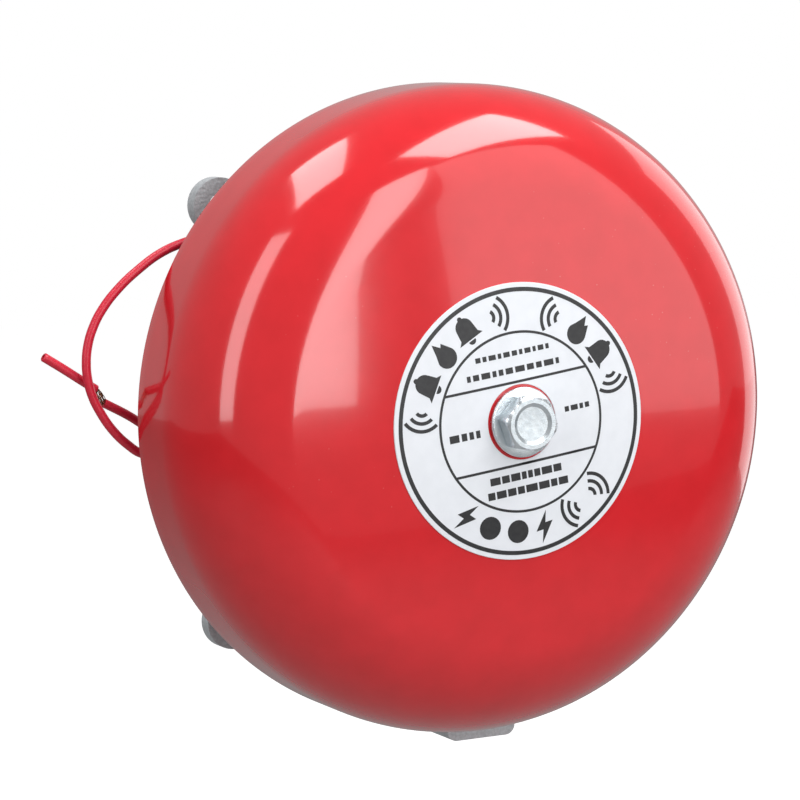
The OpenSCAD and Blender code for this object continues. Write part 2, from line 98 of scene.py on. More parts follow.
@dataclass(frozen=True)
class Softbox:
    """One rectangular studio light, aimed at a point."""

    name: str
    place: Point3
    target: Point3
    size: Point2
    power: float
    tint: Point3 = (1.0, 1.0, 1.0)

    def build(self) -> bpy.types.Object:
        """Makes the area light.

        Returns:
            The light's object.
        """
        light = bpy.data.lights.new(self.name, "AREA")
        light.shape = "RECTANGLE"
        light.size, light.size_y = (side * MM for side in self.size)
        light.energy = self.power
        light.color = self.tint
        lamp = bpy.data.objects.new(self.name, light)
        place = Vector(self.place) * MM
        aim = Vector(self.target) * MM - place
        lamp.matrix_world = Matrix.Translation(place) @ aim.to_track_quat("-Z", "Y").to_matrix().to_4x4()
        bpy.context.scene.collection.objects.link(lamp)
        return lamp


@dataclass(frozen=True)
class Studio:
    """The camera, the softboxes, the pale surroundings and the floor."""

    azimuth: float = -27.13
    elevation: float = 6.95
    roll: float = -1.4
    distance: float = 800.0
    aim: Point3 = (0.0, -39.7, 0.0)
    turn: float = 1.374
    tilt: float = 0.226
    lens: float = 157.84
    floor_level: float = -420.0
    floor_side: float = 9000.0
    floor_front: float = -1500.0
    floor_glow: float = 0.6
    floor_paint: float = 0.93
    floor_dull: float = 0.3
    surround: float = 0.42
    backdrop: float = 1.0

    def camera(self) -> bpy.types.Object:
        """Makes the scene's camera, at the bell's own viewing angle.

        Returns:
            The camera's object.
        """
        azimuth, elevation, roll = (math.radians(v) for v in (self.azimuth, self.elevation, self.roll))
        back = Vector((
            math.sin(azimuth) * math.cos(elevation),
            -math.cos(azimuth) * math.cos(elevation),
            math.sin(elevation),
        ))
        level = Vector((math.cos(azimuth), math.sin(azimuth), 0.0))
        rise = back.cross(level)
        right = level * math.cos(roll) + rise * math.sin(roll)
        up = back.cross(right)
        basis = Matrix((right, up, back)).transposed().to_4x4()
        place = Matrix.Translation((Vector(self.aim) + back * self.distance) * MM)
        nudge = (
            Matrix.Rotation(math.radians(self.turn), 4, "Y")
            @ Matrix.Rotation(math.radians(self.tilt), 4, "X")
        )
        lens = bpy.data.cameras.new("camera")
        lens.lens = self.lens
        lens.sensor_width = 36.0
        lens.clip_start = 0.05
        camera = bpy.data.objects.new("camera", lens)
        camera.matrix_world = place @ basis @ nudge
        bpy.context.scene.collection.objects.link(camera)
        bpy.context.scene.camera = camera
        return camera

    def lights(self) -> None:
        """Makes the softboxes: two tall strips, two above, a fill at the right and a weak veil."""
        for box in (
            Softbox("left_strip", aimed(-66.0, 24.0, 1200.0), MIDDLE, (300.0, 1160.0), 4.2),
            Softbox("front_strip", aimed(5.0, 20.5, 1200.0), MIDDLE, (310.0, 1130.0), 5.6),
            Softbox("left_overhead", aimed(-105.0, 71.0, 1200.0), MIDDLE, (760.0, 340.0), 5.0),
            Softbox("right_overhead", aimed(50.0, 61.0, 1200.0), MIDDLE, (820.0, 440.0), 8.5),
            Softbox("right_fill", aimed(110.0, 4.0, 1500.0), MIDDLE, (900.0, 1500.0), 5.0),
            Softbox("front_veil", aimed(37.0, 19.5, 1300.0), MIDDLE, (780.0, 1296.0), 4.9),
        ):
            box.build()

    def surroundings(self) -> None:
        """Makes the even white surroundings and the pale floor."""
        world = bpy.data.worlds.new("surroundings")
        world.use_nodes = True
        sheet = Sheet(world.node_tree)
        seen = sheet.node("ShaderNodeLightPath").outputs["Is Camera Ray"]
        strength = sheet.spread(seen, 0.0, 1.0, self.surround, self.backdrop)
        background = world.node_tree.nodes["Background"]
        background.inputs["Color"].default_value = (1.0, 1.0, 1.0, 1.0)
        sheet.feed(background.inputs["Strength"], strength)
        bpy.context.scene.world = world
        bpy.context.scene.view_settings.view_transform = "Standard"
        mesh = bpy.data.meshes.new("floor")
        half = self.floor_side / 2 * MM
        level = self.floor_level * MM
        front = self.floor_front * MM
        corners = [
            (-half, front, level), (half, front, level), (half, half, level), (-half, half, level),
        ]
        mesh.from_pydata(corners, [], [(0, 1, 2, 3)])
        floor = bpy.data.objects.new("floor", mesh)
        bpy.context.scene.collection.objects.link(floor)
        paint = bpy.data.materials.new("floor_paint")
        paint.use_nodes = True
        sheet = Sheet(paint.node_tree)
        seen = sheet.node("ShaderNodeLightPath").outputs["Is Camera Ray"]
        shader = paint.node_tree.nodes["Principled BSDF"]
        shader.inputs["Roughness"].default_value = 0.9
        shader.inputs["Emission Color"].default_value = (1.0, 1.0, 1.0, 1.0)
        sheet.feed(
            shader.inputs["Base Color"],
            sheet.spread(seen, 0.0, 1.0, self.floor_dull, self.floor_paint),
        )
        sheet.feed(
            shader.inputs["Emission Strength"],
            sheet.spread(seen, 0.0, 1.0, 0.0, self.floor_glow),
        )
        mesh.materials.append(paint)

    def build(self) -> None:
        """Makes everything that isn't the bell."""
        self.camera()
        self.lights()
        self.surroundings()


# ---------------------------------------------------------------- shader groups


class Sheet:
    """A short way to lay out nodes in one node tree."""

    def __init__(self, tree: bpy.types.NodeTree) -> None:
        """Keeps the tree that the nodes go in."""
        self.tree = tree

    def node(self, kind: str, settings: dict | None = None, **inputs: object) -> bpy.types.Node:
        """Adds one node.

        Args:
            kind: The node's type name.
            settings: The node's own properties.
            inputs: Socket values or links, keyed by the socket's name with _ for a space.

        Returns:
            The new node.
        """
        made = self.tree.nodes.new(kind)
        for key, value in (settings or {}).items():
            setattr(made, key, value)
        for key, value in inputs.items():
            self.feed(made.inputs[key.replace("_", " ")], value)
        return made

    def feed(self, socket: bpy.types.NodeSocket, value: object) -> None:
        """Links an output to a socket, or sets the socket's value.

        Args:
            socket: The input socket.
            value: An output socket, a number, a colour or a vector.
        """
        if isinstance(value, bpy.types.NodeSocket):
            self.tree.links.new(value, socket)
        else:
            socket.default_value = value

    def math(self, operation: str, first: object, second: object = 0.0) -> bpy.types.NodeSocket:
        """Adds a Math node and returns its output."""
        made = self.tree.nodes.new("ShaderNodeMath")
        made.operation = operation
        self.feed(made.inputs[0], first)
        self.feed(made.inputs[1], second)
        return made.outputs[0]

    def spread(
        self,
        value: object,
        low: float,
        high: float,
        to_low: float,
        to_high: float,
    ) -> bpy.types.NodeSocket:
        """Adds a clamped Map Range node and returns its output."""
        made = self.node(
            "ShaderNodeMapRange", None,
            Value=value, From_Min=low, From_Max=high, To_Min=to_low, To_Max=to_high,
        )
        return made.outputs["Result"]


def new_group(
    name: str,
    inputs: dict[str, float],
    outputs: Iterable[str],
) -> tuple[bpy.types.NodeTree, Sheet]:
    """Starts a shader node group whose sockets are all numbers.

    Args:
        name: The group's name.
        inputs: Each input's name and its default.
        outputs: The outputs' names.

    Returns:
        The group and a sheet to lay it out with.
    """
    group = bpy.data.node_groups.new(name, "ShaderNodeTree")
    for key, value in inputs.items():
        socket = group.interface.new_socket(name=key, in_out="INPUT", socket_type="NodeSocketFloat")
        socket.default_value = value
    for key in outputs:
        group.interface.new_socket(name=key, in_out="OUTPUT", socket_type="NodeSocketFloat")
    return group, Sheet(group)


def smudge_group() -> bpy.types.NodeTree:
    """Uneven polish and a little dust: a broad mask and a fine speck mask.

    Returns:
        The node group.
    """
    group, sheet = new_group("smudges", {"Scale": 20.0, "Specks": 0.5}, ("Polish", "Dust"))
    entry = sheet.node("NodeGroupInput")
    place = sheet.node("ShaderNodeTexCoord").outputs["Object"]
    broad = sheet.node("ShaderNodeTexNoise", None, Vector=place, Scale=entry.outputs["Scale"], Detail=4.0)
    fine = sheet.node(
        "ShaderNodeTexVoronoi", {"feature": "F1"}, Vector=place,
        Scale=sheet.math("MULTIPLY", entry.outputs["Scale"], 30.0),
    )
    near = sheet.spread(fine.outputs["Distance"], 0.03, 0.09, 1.0, 0.0)
    gate = sheet.spread(broad.outputs["Fac"], 0.5, 0.7, 0.0, 1.0)
    dust = sheet.math("MULTIPLY", sheet.math("MULTIPLY", near, gate), entry.outputs["Specks"])
    leave = sheet.node("NodeGroupOutput")
    sheet.feed(leave.inputs["Polish"], sheet.spread(broad.outputs["Fac"], 0.3, 0.7, 0.0, 1.0))
    sheet.feed(leave.inputs["Dust"], dust)
    return group


def speckle_group() -> bpy.types.NodeTree:
    """Hammertone paint: shallow round dimples, and darker flecks between them.

    Returns:
        The node group.
    """
    group, sheet = new_group("speckles", {"Scale": 900.0}, ("Fleck", "Height"))
    entry = sheet.node("NodeGroupInput")
    place = sheet.node("ShaderNodeTexCoord").outputs["Object"]
    wander = sheet.node(
        "ShaderNodeTexNoise", None, Vector=place, Detail=3.0,
        Scale=sheet.math("MULTIPLY", entry.outputs["Scale"], 0.45),
    )
    cells = sheet.node(
        "ShaderNodeTexVoronoi", {"feature": "SMOOTH_F1"}, Vector=place,
        Scale=entry.outputs["Scale"], Smoothness=0.6,
    )
    grit = sheet.node(
        "ShaderNodeTexNoise", None, Vector=place, Detail=2.0,
        Scale=sheet.math("MULTIPLY", entry.outputs["Scale"], 2.4),
    )
    fleck = sheet.math(
        "ADD", sheet.spread(cells.outputs["Distance"], 0.2, 0.75, 0.0, 0.65),
        sheet.spread(grit.outputs["Fac"], 0.52, 0.68, 0.0, 0.45),
    )
    leave = sheet.node("NodeGroupOutput")
    sheet.feed(leave.inputs["Fleck"], fleck)
    sheet.feed(leave.inputs["Height"], sheet.math("ADD", cells.outputs["Distance"], wander.outputs["Fac"]))
    return group


def grain_group() -> bpy.types.NodeTree:
    """Fine lines or peel: noise stretched along the piece's own y or z.

    Returns:
        The node group.
    """
    group, sheet = new_group("grain", {"Scale": 400.0, "Stretch Y": 1.0, "Stretch Z": 1.0}, ("Tone", "Height"))
    entry = sheet.node("NodeGroupInput")
    place = sheet.node("ShaderNodeTexCoord").outputs["Object"]
    sizes = sheet.node(
        "ShaderNodeCombineXYZ", None,
        X=1.0, Y=entry.outputs["Stretch Y"], Z=entry.outputs["Stretch Z"],
    )
    stretched = sheet.node("ShaderNodeVectorMath", {"operation": "MULTIPLY"})
    sheet.feed(stretched.inputs[0], place)
    sheet.feed(stretched.inputs[1], sizes.outputs["Vector"])
    lines = sheet.node(
        "ShaderNodeTexNoise", None, Vector=stretched.outputs["Vector"], Scale=entry.outputs["Scale"], Detail=5.0,
    )
    leave = sheet.node("NodeGroupOutput")
    sheet.feed(leave.inputs["Tone"], sheet.spread(lines.outputs["Fac"], 0.35, 0.65, 0.0, 1.0))
    sheet.feed(leave.inputs["Height"], lines.outputs["Fac"])
    return group


# ---------------------------------------------------------------- finishes


class Surface(Enum):
    """Which pattern a finish carries."""

    GRAIN = "grain"
    SPECKLE = "speckles"


@dataclass(frozen=True)
class Finish:
    """One surface finish. Colours are linear, and scales are in cycles a metre."""

    name: str
    slot: str
    colour: Point3
    shade: Point3
    roughness: float
    gloss_spread: float = 0.05
    metallic: float = 0.0
    coat: float = 0.0
    coat_roughness: float = 0.05
    specular: float = 0.5
    surface: Surface = Surface.GRAIN
    scale: float = 400.0
    stretch_y: float = 1.0
    stretch_z: float = 1.0
    relief: float = 0.02
    smudge_scale: float = 20.0
    specks: float = 0.3
    dust: Point3 = (0.6, 0.58, 0.55)

    def build(self, groups: dict[str, bpy.types.NodeTree]) -> bpy.types.Material:
        """Makes the material.

        Args:
            groups: The shared shader groups, by name.

        Returns:
            The material.
        """
        material = bpy.data.materials.new(self.name)
        material.use_nodes = True
        sheet = Sheet(material.node_tree)
        shader = material.node_tree.nodes["Principled BSDF"]
        smudges = sheet.node(
            "ShaderNodeGroup", {"node_tree": groups["smudges"]}, Scale=self.smudge_scale, Specks=self.specks,
        )
        pattern = sheet.node("ShaderNodeGroup", {"node_tree": groups[self.surface.value]}, Scale=self.scale)
        tone = pattern.outputs[0]
        if self.surface is Surface.GRAIN:
            pattern.inputs["Stretch Y"].default_value = self.stretch_y
            pattern.inputs["Stretch Z"].default_value = self.stretch_z
        blend = sheet.node("ShaderNodeMix", {"data_type": "RGBA"})
        sheet.feed(blend.inputs[0], tone)
        sheet.feed(blend.inputs[6], (*self.colour, 1.0))
        sheet.feed(blend.inputs[7], (*self.shade, 1.0))
        dusty = sheet.node("ShaderNodeMix", {"data_type": "RGBA"})
        sheet.feed(dusty.inputs[0], smudges.outputs["Dust"])
        sheet.feed(dusty.inputs[6], blend.outputs[2])
        sheet.feed(dusty.inputs[7], (*self.dust, 1.0))
        sheet.feed(shader.inputs["Base Color"], dusty.outputs[2])
        low, high = self.roughness - self.gloss_spread / 2, self.roughness + self.gloss_spread / 2
        rough = sheet.spread(smudges.outputs["Polish"], 0.0, 1.0, max(low, 0.01), high)
        sheet.feed(shader.inputs["Roughness"], rough)
        shader.inputs["Metallic"].default_value = self.metallic
        shader.inputs["Coat Weight"].default_value = self.coat
        shader.inputs["Coat Roughness"].default_value = self.coat_roughness
        shader.inputs["Specular IOR Level"].default_value = self.specular
        bump = sheet.node("ShaderNodeBump", None, Strength=1.0, Distance=self.relief * MM)
        sheet.feed(bump.inputs["Height"], pattern.outputs["Height"])
        sheet.feed(shader.inputs["Normal"], bump.outputs["Normal"])
        return material


FINISHES = (
    Finish("red_enamel", "red_enamel", (0.60, 0.008, 0.014), (0.56, 0.007, 0.012), 0.13, 0.03,
           coat=0.6, coat_roughness=0.04, scale=130.0, relief=0.012, smudge_scale=14.0, specks=0.25),
    Finish("white_film", "white_label", (0.73, 0.75, 0.79), (0.70, 0.72, 0.76), 0.36, 0.08,
           scale=300.0, relief=0.006, specks=0.12),
    Finish("black_print", "white_label", (0.012, 0.012, 0.014), (0.02, 0.02, 0.022), 0.4, 0.1,
           scale=900.0, relief=0.003, specks=0.0),
    Finish("hammertone", "hammertone", (0.50, 0.52, 0.54), (0.36, 0.375, 0.39), 0.46, 0.12,
           metallic=0.2, surface=Surface.SPECKLE, scale=1500.0, relief=0.07, specks=0.2),
    Finish("zinc", "zinc", (0.76, 0.81, 0.84), (0.66, 0.72, 0.76), 0.24, 0.12,
           metallic=1.0, scale=700.0, relief=0.02, smudge_scale=160.0, specks=0.1),
    Finish("yoke_steel", "yoke_steel", (0.48, 0.48, 0.45), (0.38, 0.38, 0.36), 0.34, 0.12,
           metallic=1.0, scale=900.0, stretch_z=0.1, relief=0.02, smudge_scale=60.0),
    Finish("turned_steel", "bare_steel", (0.60, 0.60, 0.60), (0.48, 0.48, 0.48), 0.26, 0.1,
           metallic=1.0, scale=500.0, stretch_z=9.0, relief=0.015, smudge_scale=60.0),
    Finish("turned_brass", "brass", (0.70, 0.50, 0.21), (0.58, 0.40, 0.16), 0.27, 0.1,
           metallic=1.0, scale=500.0, stretch_y=9.0, relief=0.015, smudge_scale=60.0),
    Finish("enamelled_copper", "copper_wire", (0.52, 0.20, 0.08), (0.36, 0.12, 0.05), 0.3, 0.1,
           metallic=0.9, scale=1500.0, relief=0.01, smudge_scale=80.0),
    Finish("frayed_copper", "copper_wire", (0.34, 0.14, 0.07), (0.10, 0.045, 0.03), 0.38, 0.1,
           metallic=0.85, scale=2500.0, relief=0.01, smudge_scale=300.0),
    Finish("coil_tape", "yellow_tape", (0.74, 0.53, 0.08), (0.64, 0.44, 0.06), 0.3, 0.08,
           scale=600.0, stretch_z=0.15, relief=0.01),
    Finish("nylon", "nylon", (0.78, 0.75, 0.66), (0.72, 0.68, 0.58), 0.42, 0.08,
           scale=900.0, relief=0.01),
    Finish("black_rubber", "black_rubber", (0.022, 0.022, 0.024), (0.035, 0.035, 0.037), 0.62, 0.1,
           scale=1400.0, relief=0.03, specks=0.5, dust=(0.2, 0.2, 0.2)),
    Finish("red_pvc", "red_lead", (0.60, 0.015, 0.042), (0.54, 0.012, 0.034), 0.36, 0.06,
           scale=1600.0, relief=0.003, smudge_scale=120.0, specks=0.2),
)


class Paintshop:
    """Builds every material once and hands it out by name."""

    def __init__(self) -> None:
        """Builds the shared groups and the materials."""
        groups = {group.name: group for group in (smudge_group(), speckle_group(), grain_group())}
        self.made = {finish.name: finish.build(groups) for finish in FINISHES}
        self.slots = {finish.name: finish.slot for finish in FINISHES}

    def dress(self, piece: bpy.types.Object, finish: str) -> None:
        """Gives a piece one finish.

        Args:
            piece: The piece's object.
            finish: The finish's name.
        """
        piece.data.materials.clear()
        piece.data.materials.append(self.made[finish])


# ---------------------------------------------------------------- shapes


def add_object(name: str, data: bpy.types.ID) -> bpy.types.Object:
    """Puts a mesh or a curve in the scene, at the origin."""
    piece = bpy.data.objects.new(name, data)
    bpy.context.scene.collection.objects.link(piece)
    return piece


def finish_mesh(name: str, build: bmesh.types.BMesh, smooth: float = 30.0) -> bpy.types.Object:
    """Merges, closes and smooths a mesh that was built in millimetres.

    Args:
        name: The piece's name.
        build: The mesh being built. It is freed.
        smooth: The angle in degrees above which an edge stays sharp.

    Returns:
        The piece's object, in metres.
    """
    bmesh.ops.remove_doubles(build, verts=build.verts, dist=1e-4)
    bmesh.ops.recalc_face_normals(build, faces=build.faces)
    bmesh.ops.scale(build, vec=(MM, MM, MM), verts=build.verts)
    mesh = bpy.data.meshes.new(name)
    build.to_mesh(mesh)
    build.free()
    mesh.shade_smooth()
    mesh.set_sharp_from_angle(angle=math.radians(smooth))
    return add_object(name, mesh)


def flat_faces_stay_flat(mesh: bpy.types.Mesh) -> bpy.types.Mesh:
    """Weighs a mesh's shading by the size of its faces, so that only the rounds look round.

    Args:
        mesh: A smoothly shaded mesh. It is left as it is.

    Returns:
        The mesh with its new shading.
    """
    carrier = add_object("shading_carrier", mesh)
    weighing = carrier.modifiers.new("weighing", "WEIGHTED_NORMAL")
    weighing.mode = "FACE_AREA"
    weighing.weight = 100
    weighing.keep_sharp = True
    depsgraph = bpy.context.evaluated_depsgraph_get()
    shaded = bpy.data.meshes.new_from_object(carrier.evaluated_get(depsgraph), depsgraph=depsgraph)
    bpy.data.objects.remove(carrier)
    return shaded


def arc(centre: Point2, radius: float, start: float, end: float, steps: int) -> list[Point2]:
    """Points of an arc, with the angles in degrees from the second axis.

    Args:
        centre: The arc's centre.
        radius: The arc's radius.
        start: The first angle.
        end: The last angle.
        steps: The number of steps between them.

    Returns:
        The points, both ends included.
    """
    angles = (math.radians(start + (end - start) * i / steps) for i in range(steps + 1))
    return [(centre[0] + radius * math.sin(a), centre[1] + radius * math.cos(a)) for a in angles]


def revolve(
    build: bmesh.types.BMesh,
    profile: Sequence[Point2],
    segments: int,
    place: Callable[[float, float, float], Point3],
) -> None:
    """Turns a closed profile of (radius, height) into a ring-shaped skin.

    Args:
        build: The mesh to add to.
        profile: The profile's points, in order round its section.
        segments: The number of steps round the axis.
        place: Gives a point in space for a radius, a turn in radians and a height.
    """
    rings = [
        [build.verts.new(place(radius, 2 * math.pi * k / segments, height)) for radius, height in profile]
        for k in range(segments)
    ]
    count = len(profile)
    for k in range(segments):
        here, there = rings[k], rings[(k + 1) % segments]
        for i in range(count):
            j = (i + 1) % count
            build.faces.new((here[i], here[j], there[j], there[i]))


def off_wall(radius: float, turn: float, height: float) -> Point3:
    """A point on a shape turned about the gong's axis, at a height off the wall."""
    return (radius * math.cos(turn), -height, radius * math.sin(turn))


def sweep(
    build: bmesh.types.BMesh,
    route: Sequence[Vector],
    radius: float,
    sides: int,
    bore: float = 0.0,
) -> None:
    """Sweeps a closed round rod along a route, with a recess in each end if it is hollow.

    Args:
        build: The mesh to add to.
        route: The route's points.
        radius: The rod's radius.
        sides: The number of sides.
        bore: The radius of the recess in each end, or 0.
    """
    across = Vector((0.0, 1.0, 0.0))
    rounding = radius * 0.18
    last = len(route) - 1
    first_way = (route[1] - route[0]).normalized()
    last_way = (route[last] - route[last - 1]).normalized()
    stations: list[tuple[Vector, Vector, float]] = []
    if bore > 0.0:
        stations += [(route[0] + first_way * radius, first_way, bore), (route[0], first_way, bore)]
    stations += [
        (route[0], first_way, radius - rounding),
        (route[0] + first_way * rounding, first_way, radius),
    ]
    for i in range(1, last):
        stations.append((route[i], (route[i + 1] - route[i - 1]).normalized(), radius))
    stations += [
        (route[last] - last_way * rounding, last_way, radius),
        (route[last], last_way, radius - rounding),
    ]
    if bore > 0.0:
        stations += [(route[last], last_way, bore), (route[last] - last_way * radius, last_way, bore)]
    rings = []
    for centre, way, reach in stations:
        side = way.cross(across).normalized()
        top = side.cross(way)
        rings.append([
            build.verts.new(centre + reach * (math.cos(a) * side + math.sin(a) * top))
            for a in (2 * math.pi * k / sides for k in range(sides))
        ])
    for here, there in zip(rings, rings[1:]):
        for k in range(sides):
            n = (k + 1) % sides
            build.faces.new((here[k], here[n], there[n], there[k]))
    build.faces.new(reversed(rings[0]))
    build.faces.new(rings[-1])


def smooth_route(points: Sequence[Vector], steps: int) -> list[Vector]:
    """Points on a smooth line through the given ones.

    Args:
        points: The line's own points.
        steps: The number of steps between two of them.

    Returns:
        The points of the smooth line.
    """
    ends = [points[0] * 2 - points[1], *points, points[-1] * 2 - points[-2]]
    line = []
    for a, b, c, d in zip(ends, ends[1:], ends[2:], ends[3:]):
        for i in range(steps):
            t = i / steps
            line.append(0.5 * (
                2 * b + (c - a) * t + (2 * a - 5 * b + 4 * c - d) * t * t + (3 * b - 3 * c + d - a) * t ** 3
            ))
    return [*line, points[-1]]


# ---------------------------------------------------------------- geometry node trees


class GrownShape:
    """A Geometry Nodes tree with named inputs, turned into a plain mesh."""

    def __init__(self, name: str, inputs: dict[str, tuple[str, object]]) -> None:
        """Starts the tree.

        Args:
            name: The tree's name.
            inputs: Each input's name with its socket type and its value.
        """
        self.tree = bpy.data.node_groups.new(name, "GeometryNodeTree")
        self.tree.interface.new_socket(name="Geometry", in_out="OUTPUT", socket_type="NodeSocketGeometry")
        self.values = {}
        for key, (kind, value) in inputs.items():
            socket = self.tree.interface.new_socket(name=key, in_out="INPUT", socket_type=kind)
            self.values[key] = (socket.identifier, value)
        self.sheet = Sheet(self.tree)
        self.entry = self.sheet.node("NodeGroupInput")

    def value(self, key: str) -> bpy.types.NodeSocket:
        """The output socket that carries a named input."""
        return self.entry.outputs[key]

    def grow(
        self,
        name: str,
        geometry: bpy.types.NodeSocket,
        material: bpy.types.Material,
    ) -> bpy.types.Object:
        """Ends the tree, evaluates it and keeps the result as a plain mesh.

        Args:
            name: The piece's name.
            geometry: The output that carries the finished shape.
            material: The piece's material.

        Returns:
            The piece's object.
        """
        real = self.sheet.node("GeometryNodeRealizeInstances", None, Geometry=geometry)
        smooth = self.sheet.node("GeometryNodeSetShadeSmooth", None, Geometry=real.outputs["Geometry"])
        dressed = self.sheet.node(
            "GeometryNodeSetMaterial", None, Geometry=smooth.outputs["Geometry"], Material=material,
        )
        leave = self.sheet.node("NodeGroupOutput")
        self.sheet.feed(leave.inputs["Geometry"], dressed.outputs["Geometry"])
        carrier = add_object(name + "_seed", bpy.data.meshes.new(name + "_seed"))
        modifier = carrier.modifiers.new("grow", "NODES")
        modifier.node_group = self.tree
        for identifier, value in self.values.values():
            modifier[identifier] = value
        depsgraph = bpy.context.evaluated_depsgraph_get()
        mesh = bpy.data.meshes.new_from_object(carrier.evaluated_get(depsgraph), depsgraph=depsgraph)
        mesh.name = name
        bpy.data.objects.remove(carrier)
        return add_object(name, mesh)


def wound_turns(
    name: str,
    centre: Point3,
    radius: float,
    wire: float,
    turns: int,
    pitch: float,
    material: bpy.types.Material,
) -> bpy.types.Object:
    """One layer of close wire turns about an upright axis.

    Args:
        name: The piece's name.
        centre: The middle of the lowest turn.
        radius: The turns' radius at the wire's middle.
        wire: The wire's radius.
        turns: The number of turns.
        pitch: The distance between two turns.
        material: The wire's finish.

    Returns:
        The piece's object.
    """
    shape = GrownShape("wound_turns", {
        "Radius": ("NodeSocketFloat", radius * MM),
        "Wire Radius": ("NodeSocketFloat", wire * MM),
        "Turns": ("NodeSocketInt", turns),
        "Start": ("NodeSocketVector", tuple(v * MM for v in centre)),
        "Step": ("NodeSocketVector", (0.0, 0.0, pitch * MM)),
    })
    sheet = shape.sheet
    path = sheet.node("GeometryNodeCurvePrimitiveCircle", None, Resolution=48, Radius=shape.value("Radius"))
    wire_section = sheet.node(
        "GeometryNodeCurvePrimitiveCircle", None, Resolution=8, Radius=shape.value("Wire Radius"),
    )
    turn = sheet.node(
        "GeometryNodeCurveToMesh", None, Curve=path.outputs["Curve"], Profile_Curve=wire_section.outputs["Curve"],
    )
    row = sheet.node(
        "GeometryNodeMeshLine", None, Count=shape.value("Turns"),
        Start_Location=shape.value("Start"), Offset=shape.value("Step"),
    )
    placed = sheet.node(
        "GeometryNodeInstanceOnPoints", None, Points=row.outputs["Mesh"], Instance=turn.outputs["Mesh"],
    )
    return shape.grow(name, placed.outputs["Instances"], material)


def coil_spring(
    name: str,
    foot: Point3,
    radius: float,
    wire: float,
    turns: float,
    height: float,
    material: bpy.types.Material,
) -> bpy.types.Object:
    """An upright helical spring.

    Args:
        name: The piece's name.
        foot: The middle of the spring's lower end.
        radius: The radius at the wire's middle.
        wire: The wire's radius.
        turns: The number of turns.
        height: The height between the wire's two ends.
        material: The spring's finish.

    Returns:
        The piece's object.
    """
    shape = GrownShape("coil_spring", {
        "Radius": ("NodeSocketFloat", radius * MM),
        "Wire Radius": ("NodeSocketFloat", wire * MM),
        "Turns": ("NodeSocketFloat", turns),
        "Height": ("NodeSocketFloat", height * MM),
        "Foot": ("NodeSocketVector", tuple(v * MM for v in foot)),
    })
    sheet = shape.sheet
    helix = sheet.node(
        "GeometryNodeCurveSpiral", None, Resolution=24, Rotations=shape.value("Turns"),
        Start_Radius=shape.value("Radius"), End_Radius=shape.value("Radius"), Height=shape.value("Height"),
    )
    section = sheet.node(
        "GeometryNodeCurvePrimitiveCircle", None,
        Resolution=10, Radius=shape.value("Wire Radius"),
    )
    wire_mesh = sheet.node(
        "GeometryNodeCurveToMesh", None, Curve=helix.outputs["Curve"],
        Profile_Curve=section.outputs["Curve"], Fill_Caps=True,
    )
    stood = sheet.node(
        "GeometryNodeTransform", None, Geometry=wire_mesh.outputs["Mesh"], Translation=shape.value("Foot"),
    )
    return shape.grow(name, stood.outputs["Geometry"], material)


# ---------------------------------------------------------------- gong and label


